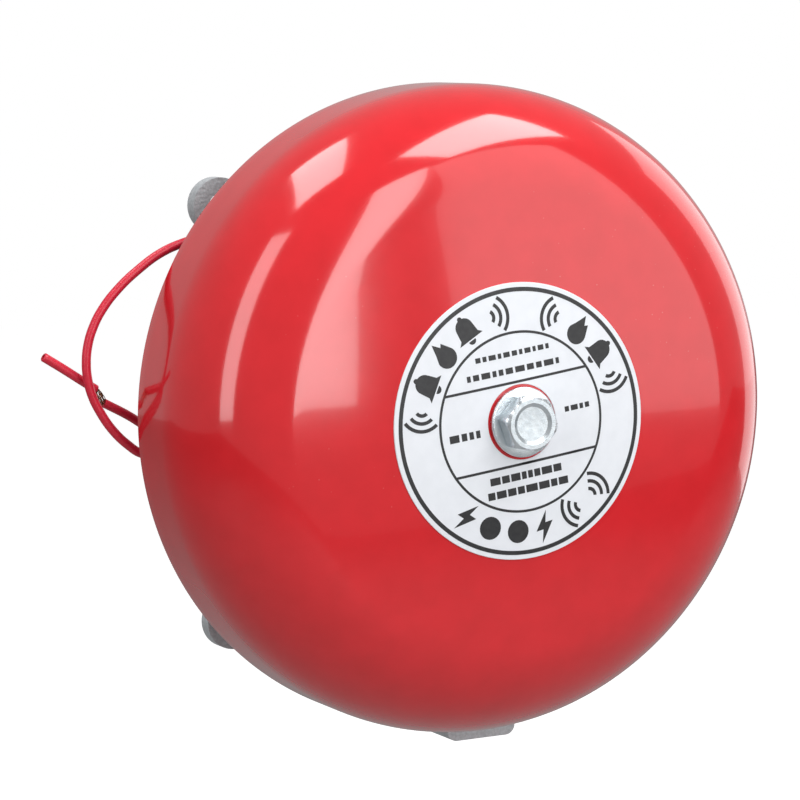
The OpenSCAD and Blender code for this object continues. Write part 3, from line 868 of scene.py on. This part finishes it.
@dataclass
class Gong:
    """The domed gong, its printed label and what they are made of."""

    shop: Paintshop
    wall: float = 2.2
    dome: float = 400.0
    shoulder: float = 26.0
    hole: float = 4.3
    rim_round: float = 0.55
    film: float = 0.25
    film_edge: float = 0.08
    film_outer: float = 31.2
    film_hole: float = 8.5
    print_turn: float = 7.1
    ink: float = 0.03
    segments: int = 288

    def __post_init__(self) -> None:
        """Measures the gong's radius, and the heights of its rim and its middle off the wall."""
        low, high = (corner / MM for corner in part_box("gong"))
        self.radius = (high.x - low.x) / 2
        self.rim = -high.y
        self.apex = -low.y + self.hole ** 2 / (2 * self.dome)

    def height(self, reach: float) -> float:
        """The dome's height off the wall at a distance from the axis."""
        return self.apex - self.dome + math.sqrt(self.dome ** 2 - reach ** 2)

    def shell(self) -> bpy.types.Object:
        """Makes the gong: dome, rounded shoulder, straight skirt and a rolled rim.

        Returns:
            The gong's object.
        """
        dome_centre = (0.0, self.apex - self.dome)
        seat = self.radius - self.shoulder
        reach = self.dome - self.shoulder
        bend = math.degrees(math.asin(seat / reach))
        shoulder_centre = (seat, dome_centre[1] + reach * math.cos(math.radians(bend)))
        lip = self.rim_round
        inner = self.radius - self.wall
        hole_edge = 0.3

        def dome_arc(offset: float, start: float, end: float) -> list[Point2]:
            """An arc of the dome between two distances from the axis."""
            spans = [math.degrees(math.asin(r / (self.dome + offset))) for r in (start, end)]
            return arc(dome_centre, self.dome + offset, *spans, 14)

        turn = math.sin(math.radians(bend))
        outer_bend, inner_bend = self.dome * turn, (self.dome - self.wall) * turn
        straight = [(self.rim + lip) + (shoulder_centre[1] - self.rim - lip) * k / 4 for k in (3, 2, 1)]
        profile = [
            *dome_arc(0.0, self.hole + hole_edge, outer_bend)[:-1],
            *arc(shoulder_centre, self.shoulder, bend, 90.0, 32),
            *((self.radius, height) for height in straight),
            *arc((self.radius - lip, self.rim + lip), lip, 90.0, 180.0, 6),
            *arc((inner + lip, self.rim + lip), lip, 180.0, 270.0, 6),
            *((inner, height) for height in reversed(straight)),
            *arc(shoulder_centre, self.shoulder - self.wall, 90.0, bend, 24),
            *dome_arc(-self.wall, inner_bend, self.hole + hole_edge)[1:],
            (self.hole, self.apex - self.wall + hole_edge),
            (self.hole, self.apex - hole_edge),
        ]
        build = bmesh.new()
        revolve(build, profile, self.segments, off_wall)
        piece = finish_mesh("gong_shell", build, 50.0)
        self.shop.dress(piece, "red_enamel")
        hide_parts("gong")
        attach(piece, "gong")
        return piece

    def film_ring(self) -> bpy.types.Object:
        """Makes the label's film, which follows the dome.

        Returns:
            The film's object.
        """
        edge = self.film_edge
        steps = 16
        reaches = [self.film_hole + edge + (self.film_outer - self.film_hole - 2 * edge) * i / steps
                   for i in range(steps + 1)]
        profile = [
            (self.film_hole, self.height(self.film_hole) + 0.01),
            (self.film_hole, self.height(self.film_hole) + self.film - edge),
            *((r, self.height(r) + self.film) for r in reaches),
            (self.film_outer, self.height(self.film_outer) + self.film - edge),
            (self.film_outer, self.height(self.film_outer) + 0.01),
            *((r, self.height(r) + 0.01) for r in reversed(reaches)),
        ]
        build = bmesh.new()
        revolve(build, profile, self.segments, off_wall)
        piece = finish_mesh("label_film", build, 40.0)
        self.shop.dress(piece, "white_film")
        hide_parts("gong_label")
        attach(piece, "gong")
        return piece

    def on_label(self, u: float, v: float, lift: float) -> Point3:
        """A point on the label, from its own right and up, at a lift above the film."""
        turn = math.radians(self.print_turn)
        x = u * math.cos(turn) - v * math.sin(turn)
        z = u * math.sin(turn) + v * math.cos(turn)
        return (x, -(self.height(math.hypot(x, z)) + self.film + lift), z)

    def stamp(self, build: bmesh.types.BMesh, outline: Sequence[Point2]) -> None:
        """Prints one filled outline on the label, as a thin closed layer of ink.

        Args:
            build: The mesh to add to.
            outline: The outline's points, in the label's own right and up.
        """
        layers = [
            [build.verts.new(self.on_label(u, v, lift)) for u, v in outline]
            for lift in (-0.01, self.ink)
        ]
        low, high = layers
        build.faces.new(reversed(low))
        build.faces.new(high)
        for i in range(len(outline)):
            j = (i + 1) % len(outline)
            build.faces.new((low[i], low[j], high[j], high[i]))

    def print_rings(self, build: bmesh.types.BMesh) -> None:
        """Prints the thick outer ring and the thin inner one."""
        for middle, width in ((29.67, 0.95), (INNER_RING, INNER_LINE)):
            low, high = middle - width / 2, middle + width / 2
            steps = 144

            def spot(reach: float, turn: float, lift: float) -> Point3:
                """A point of the ring on the dome."""
                return off_wall(reach, turn, self.height(reach) + self.film + lift)

            revolve(build, [(low, -0.01), (low, self.ink), (high, self.ink), (high, -0.01)], steps, spot)

    def print_bar(self, build: bmesh.types.BMesh, start: Point2, end: Point2, width: float) -> None:
        """Prints a straight line, in short lengths that follow the dome.

        Args:
            build: The mesh to add to.
            start: The line's first end.
            end: The line's last end.
            width: The line's width.
        """
        pieces = max(1, math.ceil(math.dist(start, end) / 3.0))
        for i in range(pieces):
            u0, u1 = (start[0] + (end[0] - start[0]) * (i + k) / pieces for k in (0, 1))
            v0, v1 = (start[1] + (end[1] - start[1]) * (i + k) / pieces for k in (0, 1))
            half = width / 2
            self.stamp(build, [(u0, v0 - half), (u1, v1 - half), (u1, v1 + half), (u0, v0 + half)])

    def artwork(self) -> bpy.types.Object:
        """Makes the label's ink: rings, two lines, a ring of signs and short bars.

        Returns:
            The ink's object.
        """
        build = bmesh.new()
        self.print_rings(build)
        for level in (9.16, -9.37):
            half = math.sqrt(INNER_RING ** 2 - level ** 2)
            self.print_bar(build, (-half, level), (half, level), INNER_LINE)
        for angle, sign in SIGN_RING:
            turn = math.radians(angle)
            centre = (SIGN_REACH * math.cos(turn), SIGN_REACH * math.sin(turn))
            tilt = turn - math.pi / 2 if angle > 0 else turn + math.pi / 2
            for outline in sign.outlines():
                self.stamp(build, [
                    (
                        centre[0] + SIGN_SIDE * (x * math.cos(tilt) - y * math.sin(tilt)),
                        centre[1] + SIGN_SIDE * (x * math.sin(tilt) + y * math.cos(tilt)),
                    )
                    for x, y in outline
                ])
        dice = random.Random(7)
        for row in BAR_ROWS:
            row.print_on(self, build, dice)
        piece = finish_mesh("label_ink", build, 60.0)
        self.shop.dress(piece, "black_print")
        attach(piece, "gong")
        return piece

    def build(self) -> None:
        """Makes the gong and its label."""
        for piece in (self.shell(), self.film_ring(), self.artwork()):
            report(piece)


class Sign(Enum):
    """The plain signs round the label. Each is drawn in a square of side 1."""

    BELL = "bell"
    WAVES_LEFT = "waves_left"
    WAVES_RIGHT = "waves_right"
    FLASH = "flash"
    FLAME = "flame"
    DISC = "disc"

    def outlines(self) -> list[list[Point2]]:
        """The sign's filled outlines.

        Returns:
            One list of points for each outline.
        """
        if self is Sign.BELL:
            crown = arc((0.0, 0.12), 0.3, -90.0, 90.0, 12)
            body = [*crown, (0.33, -0.18), (0.45, -0.3), (-0.45, -0.3), (-0.33, -0.18)]
            clapper = arc((0.0, -0.34), 0.13, 90.0, 270.0, 8)
            knob = arc((0.0, 0.42), 0.08, 0.0, 330.0, 10)
            return [body, clapper, knob]
        if self in (Sign.WAVES_LEFT, Sign.WAVES_RIGHT):
            side = -1.0 if self is Sign.WAVES_LEFT else 1.0
            middle = -0.3 * side
            shapes = []
            for radius in (0.22, 0.46, 0.70):
                far = arc((middle, 0.0), radius + 0.055, 42.0 * side, 138.0 * side, 12)
                near = arc((middle, 0.0), radius - 0.055, 138.0 * side, 42.0 * side, 12)
                shapes.append([*far, *near])
            return shapes
        if self is Sign.FLASH:
            return [[(0.16, 0.5), (-0.3, -0.08), (-0.05, -0.08), (-0.16, -0.5), (0.32, 0.12), (0.06, 0.12)]]
        if self is Sign.FLAME:
            left = arc((0.0, -0.14), 0.33, 180.0, 285.0, 10)
            right = arc((0.0, -0.14), 0.33, 75.0, 180.0, 10)
            return [[*left, (-0.2, 0.14), (-0.02, 0.5), (0.1, 0.22), (0.2, 0.3), *right[:-1]]]
        return [arc((0.0, 0.0), 0.36, 0.0, 345.0, 23)]


INNER_RING = 20.21
INNER_LINE = 0.58
SIGN_REACH = 24.8
SIGN_SIDE = 7.3
SIGN_RING = (
    (167.0, Sign.WAVES_LEFT), (150.0, Sign.BELL), (132.0, Sign.FLAME), (114.5, Sign.BELL),
    (96.0, Sign.WAVES_RIGHT),
    (62.0, Sign.WAVES_LEFT), (45.0, Sign.FLAME), (28.0, Sign.BELL), (12.0, Sign.WAVES_RIGHT),
    (-132.0, Sign.FLASH), (-116.5, Sign.DISC), (-100.0, Sign.DISC), (-84.5, Sign.FLASH),
    (-65.0, Sign.WAVES_LEFT), (-49.0, Sign.WAVES_RIGHT),
)


@dataclass(frozen=True)
class BarRow:
    """A row of short upright bars that stands where small print would be."""

    centre: Point2
    length: float
    tall: float
    bar: float
    gap: float

    def print_on(self, gong: Gong, build: bmesh.types.BMesh, dice: random.Random) -> None:
        """Prints the row.

        Args:
            gong: The gong that carries the label.
            build: The mesh to add to.
            dice: The source of the bars' uneven widths.
        """
        left = self.centre[0] - self.length / 2
        right = self.centre[0] + self.length / 2
        low, high = self.centre[1] - self.tall / 2, self.centre[1] + self.tall / 2
        while left < right - self.bar:
            width = min(self.bar * dice.uniform(0.8, 2.6), right - left)
            gong.stamp(build, [(left, low), (left + width, low), (left + width, high), (left, high)])
            left += width + self.gap


BAR_ROWS = (
    BarRow((0.2, 15.6), 19.0, 1.15, 0.9, 0.55),
    BarRow((0.0, 11.9), 24.0, 1.35, 0.95, 0.6),
    BarRow((-14.2, -0.6), 8.0, 1.7, 1.0, 0.6),
    BarRow((14.3, 0.6), 6.4, 1.2, 0.8, 0.5),
    BarRow((0.0, -12.0), 19.5, 1.7, 1.3, 0.4),
    BarRow((-0.2, -15.2), 21.0, 1.7, 1.3, 0.4),
)


# ---------------------------------------------------------------- bolt and washer


@dataclass(frozen=True)
class GongBolt:
    """The hex bolt with a dished head, and the washer under it."""

    shop: Paintshop
    across_flats: float = 11.75
    turned: float = -11.0
    head: float = 4.25
    chamfer: float = 1.15
    dish: float = 4.6
    dish_depth: float = 0.45
    shank: float = 4.0
    thread_depth: float = 0.55
    pitch: float = 1.25
    washer_outer: float = 7.9
    washer_bore: float = 4.2

    def head_piece(self) -> bpy.types.Object:
        """Makes the head: six flats cut by a cone, a soft edge and a shallow dish on top.

        Returns:
            The head's object.
        """
        top = -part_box("gong_bolt")[0].y / MM
        seat = top - self.head
        corner = self.across_flats / 2 / math.cos(math.pi / 6)
        segments = 144
        levels = 10
        soft = 0.18

        def hex_reach(turn: float) -> float:
            """How far the hexagon reaches in one direction, with slightly rounded corners."""
            local = (turn - math.radians(self.turned)) % (math.pi / 3)
            flat = self.across_flats / 2 / math.cos(local - math.pi / 6)
            return min(flat, corner - soft)

        def cone_reach(height: float) -> float:
            """How far the chamfer's cone reaches at a height."""
            fall = (height - (top - self.chamfer * 0.62)) / (self.chamfer * 0.62)
            return corner - max(0.0, fall) * self.chamfer

        build = bmesh.new()
        rings: list[list[bmesh.types.BMVert]] = []

        def ring(height: float, shrink: float) -> None:
            """Adds a ring of the hexagon's outline, cut by the cone."""
            turns = [2 * math.pi * k / segments for k in range(segments)]
            rings.append([
                build.verts.new(off_wall(min(hex_reach(t) - shrink, cone_reach(height)), t, height))
                for t in turns
            ])

        def circle(height: float, reach: float) -> None:
            """Adds a round ring."""
            rings.append([
                build.verts.new(off_wall(reach, 2 * math.pi * k / segments, height)) for k in range(segments)
            ])

        circle(seat, self.shank)
        ring(seat, 0.25)
        ring(seat + 0.2, 0.0)
        for i in range(1, levels + 1):
            ring(seat + 0.2 + (self.head - 0.2) * i / levels, 0.0)
        rim = corner - self.chamfer
        circle(top, rim - 0.12)
        circle(top, self.dish + 0.1)
        circle(top - 0.08, self.dish - 0.05)
        circle(top - self.dish_depth, self.dish - 0.75)
        circle(top - self.dish_depth - 0.04, 1.2)
        for here, there in zip(rings, rings[1:]):
            for k in range(segments):
                n = (k + 1) % segments
                build.faces.new((here[k], here[n], there[n], there[k]))
        build.faces.new(rings[-1])
        foot = -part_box("gong_bolt")[1].y / MM
        self.thread(build, rings[0], seat, foot, segments)
        piece = finish_mesh("gong_bolt_zinc", build, 24.0)
        self.shop.dress(piece, "zinc")
        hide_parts("gong_bolt")
        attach(piece, "bolt")
        return piece

    def thread(
        self,
        build: bmesh.types.BMesh,
        collar: list[bmesh.types.BMVert],
        seat: float,
        foot: float,
        segments: int,
    ) -> None:
        """Adds the threaded shank below the head's seat.

        Args:
            build: The mesh to add to.
            collar: The ring of points where the shank meets the head.
            seat: The height of the head's seat.
            foot: The height of the shank's end.
            segments: The number of points in a ring.
        """
        plain = seat - 1.2
        rows = math.ceil((plain - foot) / (self.pitch / 6))
        previous = collar
        for i in range(rows + 1):
            height = plain - (plain - foot) * i / rows
            fade = min(1.0, i / 8) if i < rows - 5 else 1.0
            taper = max(0.0, i - (rows - 5)) * 0.14
            here = []
            for k in range(segments):
                turn = 2 * math.pi * k / segments
                phase = (height / self.pitch + k / segments) % 1.0
                groove = self.thread_depth * fade * (1.0 - abs(2.0 * phase - 1.0))
                here.append(build.verts.new(off_wall(self.shank - groove - taper, turn, height)))
            for k in range(segments):
                n = (k + 1) % segments
                build.faces.new((previous[k], here[k], here[n], previous[n]))
            previous = here
        build.faces.new(previous)

    def washer(self) -> bpy.types.Object:
        """Makes the stamped washer, with one rounded edge and one burred edge.

        Returns:
            The washer's object.
        """
        low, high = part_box("bolt_washer")
        foot, top = -high.y / MM, -low.y / MM
        edge = 0.32
        profile = [
            *arc((self.washer_outer - edge, top - edge), edge, 0.0, 90.0, 5),
            (self.washer_outer, foot + 0.08),
            (self.washer_outer - 0.08, foot),
            (self.washer_bore + 0.08, foot),
            (self.washer_bore, foot + 0.08),
            *arc((self.washer_bore + edge, top - edge), edge, 270.0, 360.0, 5),
        ]
        build = bmesh.new()
        revolve(build, profile, 128, off_wall)
        piece = finish_mesh("bolt_washer_zinc", build, 40.0)
        self.shop.dress(piece, "zinc")
        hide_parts("bolt_washer")
        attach(piece, "washer")
        return piece

    def build(self) -> None:
        """Makes the washer and the bolt."""
        for piece in (self.washer(), self.head_piece()):
            report(piece)


# ---------------------------------------------------------------- flying leads


def points(*rows: Point3) -> list[Vector]:
    """Points in millimetres, as vectors."""
    return [Vector(row) for row in rows]


@dataclass(frozen=True)
class FlyingLeads:
    """The two red leads that leave the grommet, and the stripped end of the shorter one."""

    shop: Paintshop
    diameter: float = 2.1
    exit_x: float = -53.0
    strand: float = 0.09
    strands: int = 16

    LEAD_A = points(
        (-50, -9, -6.5), (-53, -9, -6.5), (-56.5, -9, -6.5), (-60, -9, -6.8), (-64, -8.7, -7.2),
        (-68, -8.4, -7.2), (-71.6, -8.2, -6.6), (-74.9, -8.1, -4.3), (-78.3, -8, -0.8), (-81, -7.9, 3.3),
        (-82.9, -7.8, 7.4), (-83.8, -7.8, 11.2), (-84, -7.8, 15), (-83.4, -7.7, 19), (-81.9, -7.6, 23),
        (-79.5, -7.4, 26.8), (-75.4, -7.2, 31.2), (-70.3, -7, 35.2), (-64.8, -7, 38.6), (-59.3, -7, 40.6),
        (-55.5, -7, 41.4), (-52, -7, 41.8),
    )
    LEAD_B = points(
        (-50, -9, -3.5), (-52.6, -9, -3.5), (-55.2, -8.9, -3.6), (-57.8, -8.4, -4), (-60.2, -7.3, -4.3),
        (-62.5, -5.9, -4.2), (-64.8, -4.8, -3.6), (-66.9, -4.2, -2.4), (-68.8, -4.1, -1), (-70.7, -4.3, 0.3),
        (-73, -4.6, 1.8), (-75.2, -4.7, 3.1), (-77.2, -4.7, 4.2), (-79, -4.7, 5.2),
    )
    SLUG_B = points((-80.6, -4.6, 8.3), (-84.4, -4.5, 10.9), (-88.6, -4.4, 13.8), (-93, -4.4, 16.7))

    def lead(
        self,
        name: str,
        node: str,
        route: list[Vector],
    ) -> bpy.types.Object:
        """Makes one lead as a smooth curve of its real diameter.

        Args:
            name: The piece's name.
            node: The CAD node that it stands for.
            route: The lead's route.

        Returns:
            The lead's object.
        """
        curve = bpy.data.curves.new(name, "CURVE")
        curve.dimensions = "3D"
        curve.bevel_depth = self.diameter / 2 * MM
        curve.bevel_resolution = 6
        curve.resolution_u = 6
        curve.use_fill_caps = True
        spline = curve.splines.new("BEZIER")
        spline.bezier_points.add(len(route) - 1)
        for point, place in zip(spline.bezier_points, route):
            point.co = place * MM
            point.handle_left_type = point.handle_right_type = "AUTO"
        piece = add_object(name, curve)
        self.shop.dress(piece, "red_pvc")
        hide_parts(node)
        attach(piece, "base")
        return piece

    def frayed(
        self,
        name: str,
        node: str,
        start: Vector,
        end: Vector,
        spread: float,
        seed: int,
    ) -> bpy.types.Object:
        """Makes a bundle of fine copper strands from one point to another.

        Args:
            name: The piece's name.
            node: The CAD node that it stands for.
            start: Where the strands leave the insulation.
            end: Where they end.
            spread: How far they stand apart in the middle.
            seed: The seed of their waves.

        Returns:
            The bundle's object.
        """
        dice = random.Random(seed)
        way = (end - start).normalized()
        side = way.cross(Vector((0.0, 1.0, 0.0))).normalized()
        top = side.cross(way)
        back = start - way * 0.8
        build = bmesh.new()
        for k in range(self.strands):
            turn = 2.4 * k
            reach = 0.62 * math.sqrt((k + 0.5) / self.strands)
            loose = spread * dice.uniform(0.5, 1.3)
            stop = dice.uniform(0.8, 1.0)
            stations = []
            for i in range(6):
                t = i / 5
                swell = reach + loose * math.sin(math.pi * t) * dice.uniform(0.7, 1.2)
                angle = turn + 1.4 * t + dice.uniform(-0.3, 0.3)
                along = back.lerp(end + way * 0.6, t * stop)
                stations.append(along + swell * (math.cos(angle) * side + math.sin(angle) * top))
            sweep(build, smooth_route(stations, 3), self.strand, 6)
        piece = finish_mesh(name, build, 60.0)
        self.shop.dress(piece, "frayed_copper")
        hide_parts(node)
        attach(piece, "base")
        return piece

    def slug(self) -> bpy.types.Object:
        """Makes the cut length of insulation that hangs on the strands.

        Returns:
            The slug's object.
        """
        build = bmesh.new()
        sweep(build, smooth_route(self.SLUG_B, 6), self.diameter / 2, 24, bore=0.62)
        piece = finish_mesh("insulation_sleeve", build, 50.0)
        self.shop.dress(piece, "red_pvc")
        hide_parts("insulation_slug")
        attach(piece, "base")
        return piece

    def build(self) -> None:
        """Makes the leads, their strands and the slug."""
        tail = self.LEAD_A[-1]
        strands_a = self.frayed(
            "copper_strands_a", "strands_a", tail, tail + Vector((2.6, 0.0, 0.15)), 0.05, 3,
        )
        strands_b = self.frayed("copper_strands_b", "strands_b", self.LEAD_B[-1], self.SLUG_B[0], 0.35, 5)
        slug = self.slug()
        made = [
            strands_a, strands_b, slug,
            self.lead("lead_a_flex", "lead_a", self.LEAD_A),
            self.lead("lead_b_flex", "lead_b", self.LEAD_B),
        ]
        for piece in made:
            report(piece)


# ---------------------------------------------------------------- base and mechanism


@dataclass(frozen=True)
class MadePart:
    """A part whose CAD shape is right, given soft edges and a finish."""

    node: str
    finish: str
    edge: float = 0.2


CASTING = (
    "base_plate",
    "pan_wall_right",
    "pan_wall_top",
    "pan_wall_left",
    "pan_wall_bottom",
    "cable_boss",
)
CAST_AND_MACHINED = (
    MadePart("base_plate", "hammertone", 0.0),
    MadePart("lid", "hammertone", 0.3),
    MadePart("lid_gasket", "black_rubber", 0.15),
    MadePart("post_seal", "black_rubber", 0.3),
    MadePart("centre_post", "zinc", 0.4),
    MadePart("lid_screws", "zinc", 0.12),
    MadePart("magnet_yoke", "yoke_steel", 0.2),
    MadePart("yoke_screws", "zinc", 0.1),
    MadePart("coil_bobbin", "nylon", 0.15),
    MadePart("guide_tube", "turned_brass", 0.1),
    MadePart("fixed_core", "turned_steel", 0.15),
    MadePart("buffer_pad", "black_rubber", 0.2),
    MadePart("guide_bush", "nylon", 0.2),
    MadePart("pin_seal", "black_rubber", 0.2),
    MadePart("terminal_block", "nylon", 0.3),
    MadePart("terminal_screws", "turned_brass", 0.12),
    MadePart("earth_screw", "turned_brass", 0.12),
    MadePart("earth_washer", "turned_brass", 0.1),
    MadePart("lead_grommet", "black_rubber", 0.3),
    MadePart("plunger", "turned_steel", 0.3),
    MadePart("striker_pin", "turned_steel", 0.2),
    MadePart("striker_tip", "nylon", 0.2),
    MadePart("gong_bush", "turned_brass", 0.25),
)
PLAIN_NODES = {"coil_tails": "coil_tape", "lead_tails": "red_pvc", "coil_tape": "coil_tape"}


@dataclass(frozen=True)
class Mechanism:
    """The cast base, its lid and the solenoid inside."""

    shop: Paintshop
    bodies: dict[str, str]
    keep_sharp: float = 32.0
    same_plane: float = 0.6

    def one_casting(self) -> bpy.types.Mesh:
        """Joins the nodes that are one casting on the real bell.

        Returns:
            The casting's mesh.
        """
        copies = []
        for node in CASTING:
            build = bmesh.new()
            build.from_mesh(frame["nodes"][node].data)
            bmesh.ops.remove_doubles(build, verts=build.verts, dist=MERGE)
            mesh = bpy.data.meshes.new(node + "_copy")
            build.to_mesh(mesh)
            build.free()
            copies.append(add_object(node + "_copy", mesh))
        for other in copies[1:]:
            union = copies[0].modifiers.new("union", "BOOLEAN")
            union.operation = "UNION"
            union.solver = "EXACT"
            union.object = other
        depsgraph = bpy.context.evaluated_depsgraph_get()
        joined = bpy.data.meshes.new_from_object(copies[0].evaluated_get(depsgraph), depsgraph=depsgraph)
        for copy in copies:
            bpy.data.objects.remove(copy)
        return joined

    def soften(self, part: MadePart, joined: bpy.types.Mesh | None = None) -> bpy.types.Object:
        """Copies a CAD node, rounds its edges if the part has a size for them, and shades it.

        Args:
            part: The part, its finish and the size of its edges.
            joined: The mesh to start from, where the part takes in other nodes too.

        Returns:
            The piece that stands for the node.
        """
        build = bmesh.new()
        build.from_mesh(frame["nodes"][part.node].data if joined is None else joined)
        bmesh.ops.remove_doubles(build, verts=build.verts, dist=MERGE)
        bmesh.ops.holes_fill(build, edges=[edge for edge in build.edges if edge.is_boundary], sides=0)
        bmesh.ops.dissolve_limit(
            build, angle_limit=math.radians(self.same_plane),
            verts=build.verts, edges=build.edges, delimit={"NORMAL"},
        )
        mesh = bpy.data.meshes.new(part.node + "_made")
        build.to_mesh(mesh)
        build.free()
        carrier = add_object(part.node + "_carrier", mesh)
        if part.edge:
            bevel = carrier.modifiers.new("edges", "BEVEL")
            bevel.width = part.edge * MM
            bevel.segments = 2
            bevel.limit_method = "ANGLE"
            bevel.angle_limit = math.radians(self.keep_sharp)
            bevel.use_clamp_overlap = True
        depsgraph = bpy.context.evaluated_depsgraph_get()
        made = bpy.data.meshes.new_from_object(carrier.evaluated_get(depsgraph), depsgraph=depsgraph)
        bpy.data.objects.remove(carrier)
        made.shade_smooth()
        made.set_sharp_from_angle(angle=math.radians(self.keep_sharp))
        made = flat_faces_stay_flat(made)
        made.name = part.node + "_made"
        piece = add_object(part.node + "_made", made)
        self.shop.dress(piece, part.finish)
        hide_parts(part.node)
        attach(piece, self.bodies[part.node])
        return piece

    def winding(self) -> bpy.types.Object:
        """Makes the coil's outer layer of wire."""
        low, high = (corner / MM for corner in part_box("coil_winding"))
        wire = 0.28
        pitch = 2 * wire
        turns = int((high.z - low.z) / pitch)
        centre = ((low.x + high.x) / 2, (low.y + high.y) / 2, low.z + wire)
        radius = (high.x - low.x) / 2 - wire
        piece = wound_turns(
            "coil_turns", centre, radius, wire, turns, pitch, self.shop.made["enamelled_copper"],
        )
        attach(piece, "base")
        return piece

    def spring(self) -> bpy.types.Object:
        """Makes the return spring."""
        low, high = (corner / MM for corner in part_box("return_spring"))
        wire = 0.35
        radius = (high.x - low.x) / 2 - wire
        foot = ((low.x + high.x) / 2, (low.y + high.y) / 2, low.z + wire)
        height = high.z - low.z - 2 * wire
        piece = coil_spring(
            "return_spring_wire", foot, radius, wire, 6.5, height, self.shop.made["turned_steel"],
        )
        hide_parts("return_spring")
        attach(piece, "base")
        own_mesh(piece)
        return piece

    def build(self) -> None:
        """Makes every part of the base and the mechanism."""
        for part in CAST_AND_MACHINED:
            if part.node in CASTING:
                casting = self.soften(part, self.one_casting())
                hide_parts(*CASTING)
                report(casting)
            else:
                report(self.soften(part))
        for node, finish in PLAIN_NODES.items():
            self.shop.dress(frame["nodes"][node], finish)
        self.shop.dress(frame["nodes"]["coil_winding"], "enamelled_copper")
        report(self.winding())
        report(self.spring())


def report(piece: bpy.types.Object) -> None:
    """Logs one piece and the size of its mesh."""
    faces = len(piece.data.polygons) if piece.type == "MESH" else 0
    LOG.info("%s: %s, %d faces", piece.name, piece.type.lower(), faces)


def main() -> None:
    """Builds the studio, the leads, the gong, its bolt and the mechanism."""
    logging.basicConfig(level=logging.INFO, format="%(name)s %(message)s")
    Studio().build()
    shop = Paintshop()
    groups = frame["record"]["behaviour"]["bodies"]
    bodies = {node: body for body, nodes in groups.items() for node in nodes}
    FlyingLeads(shop).build()
    Gong(shop).build()
    GongBolt(shop).build()
    Mechanism(shop, bodies).build()


if __name__ == "__main__":
    main()
